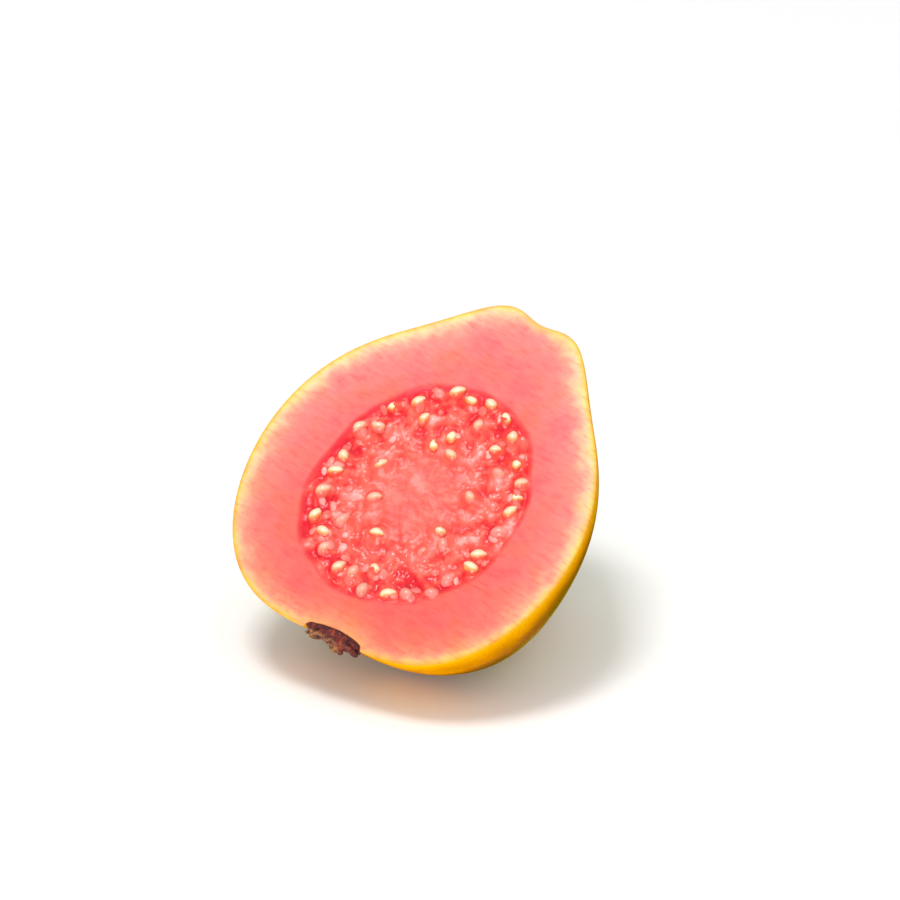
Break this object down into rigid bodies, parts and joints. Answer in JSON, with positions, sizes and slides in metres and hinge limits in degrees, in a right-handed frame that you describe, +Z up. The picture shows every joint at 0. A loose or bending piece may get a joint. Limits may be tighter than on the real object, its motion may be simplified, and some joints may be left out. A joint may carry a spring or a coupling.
{
  "type": "half guava",
  "caption": "Pink guava cut in half lengthwise, lying on its skin: flesh round a bed of seedy pulp, with a small dry calyx at the blossom end.",
  "frame": {"origin": "middle of the flat spot of skin that the half rests on", "axes": "+Z up; the cut face leans towards -Y and a little towards -X, and the stem end points to +X, +Y and up"},
  "size_m": [0.0725, 0.067, 0.0592],
  "materials": {
    "fruit": "satin",
    "dry_calyx": "matte"
  },
  "bodies": {
    "root": {"fruit_half": "fruit", "calyx": "dry_calyx"}
  },
  "joints": []
}
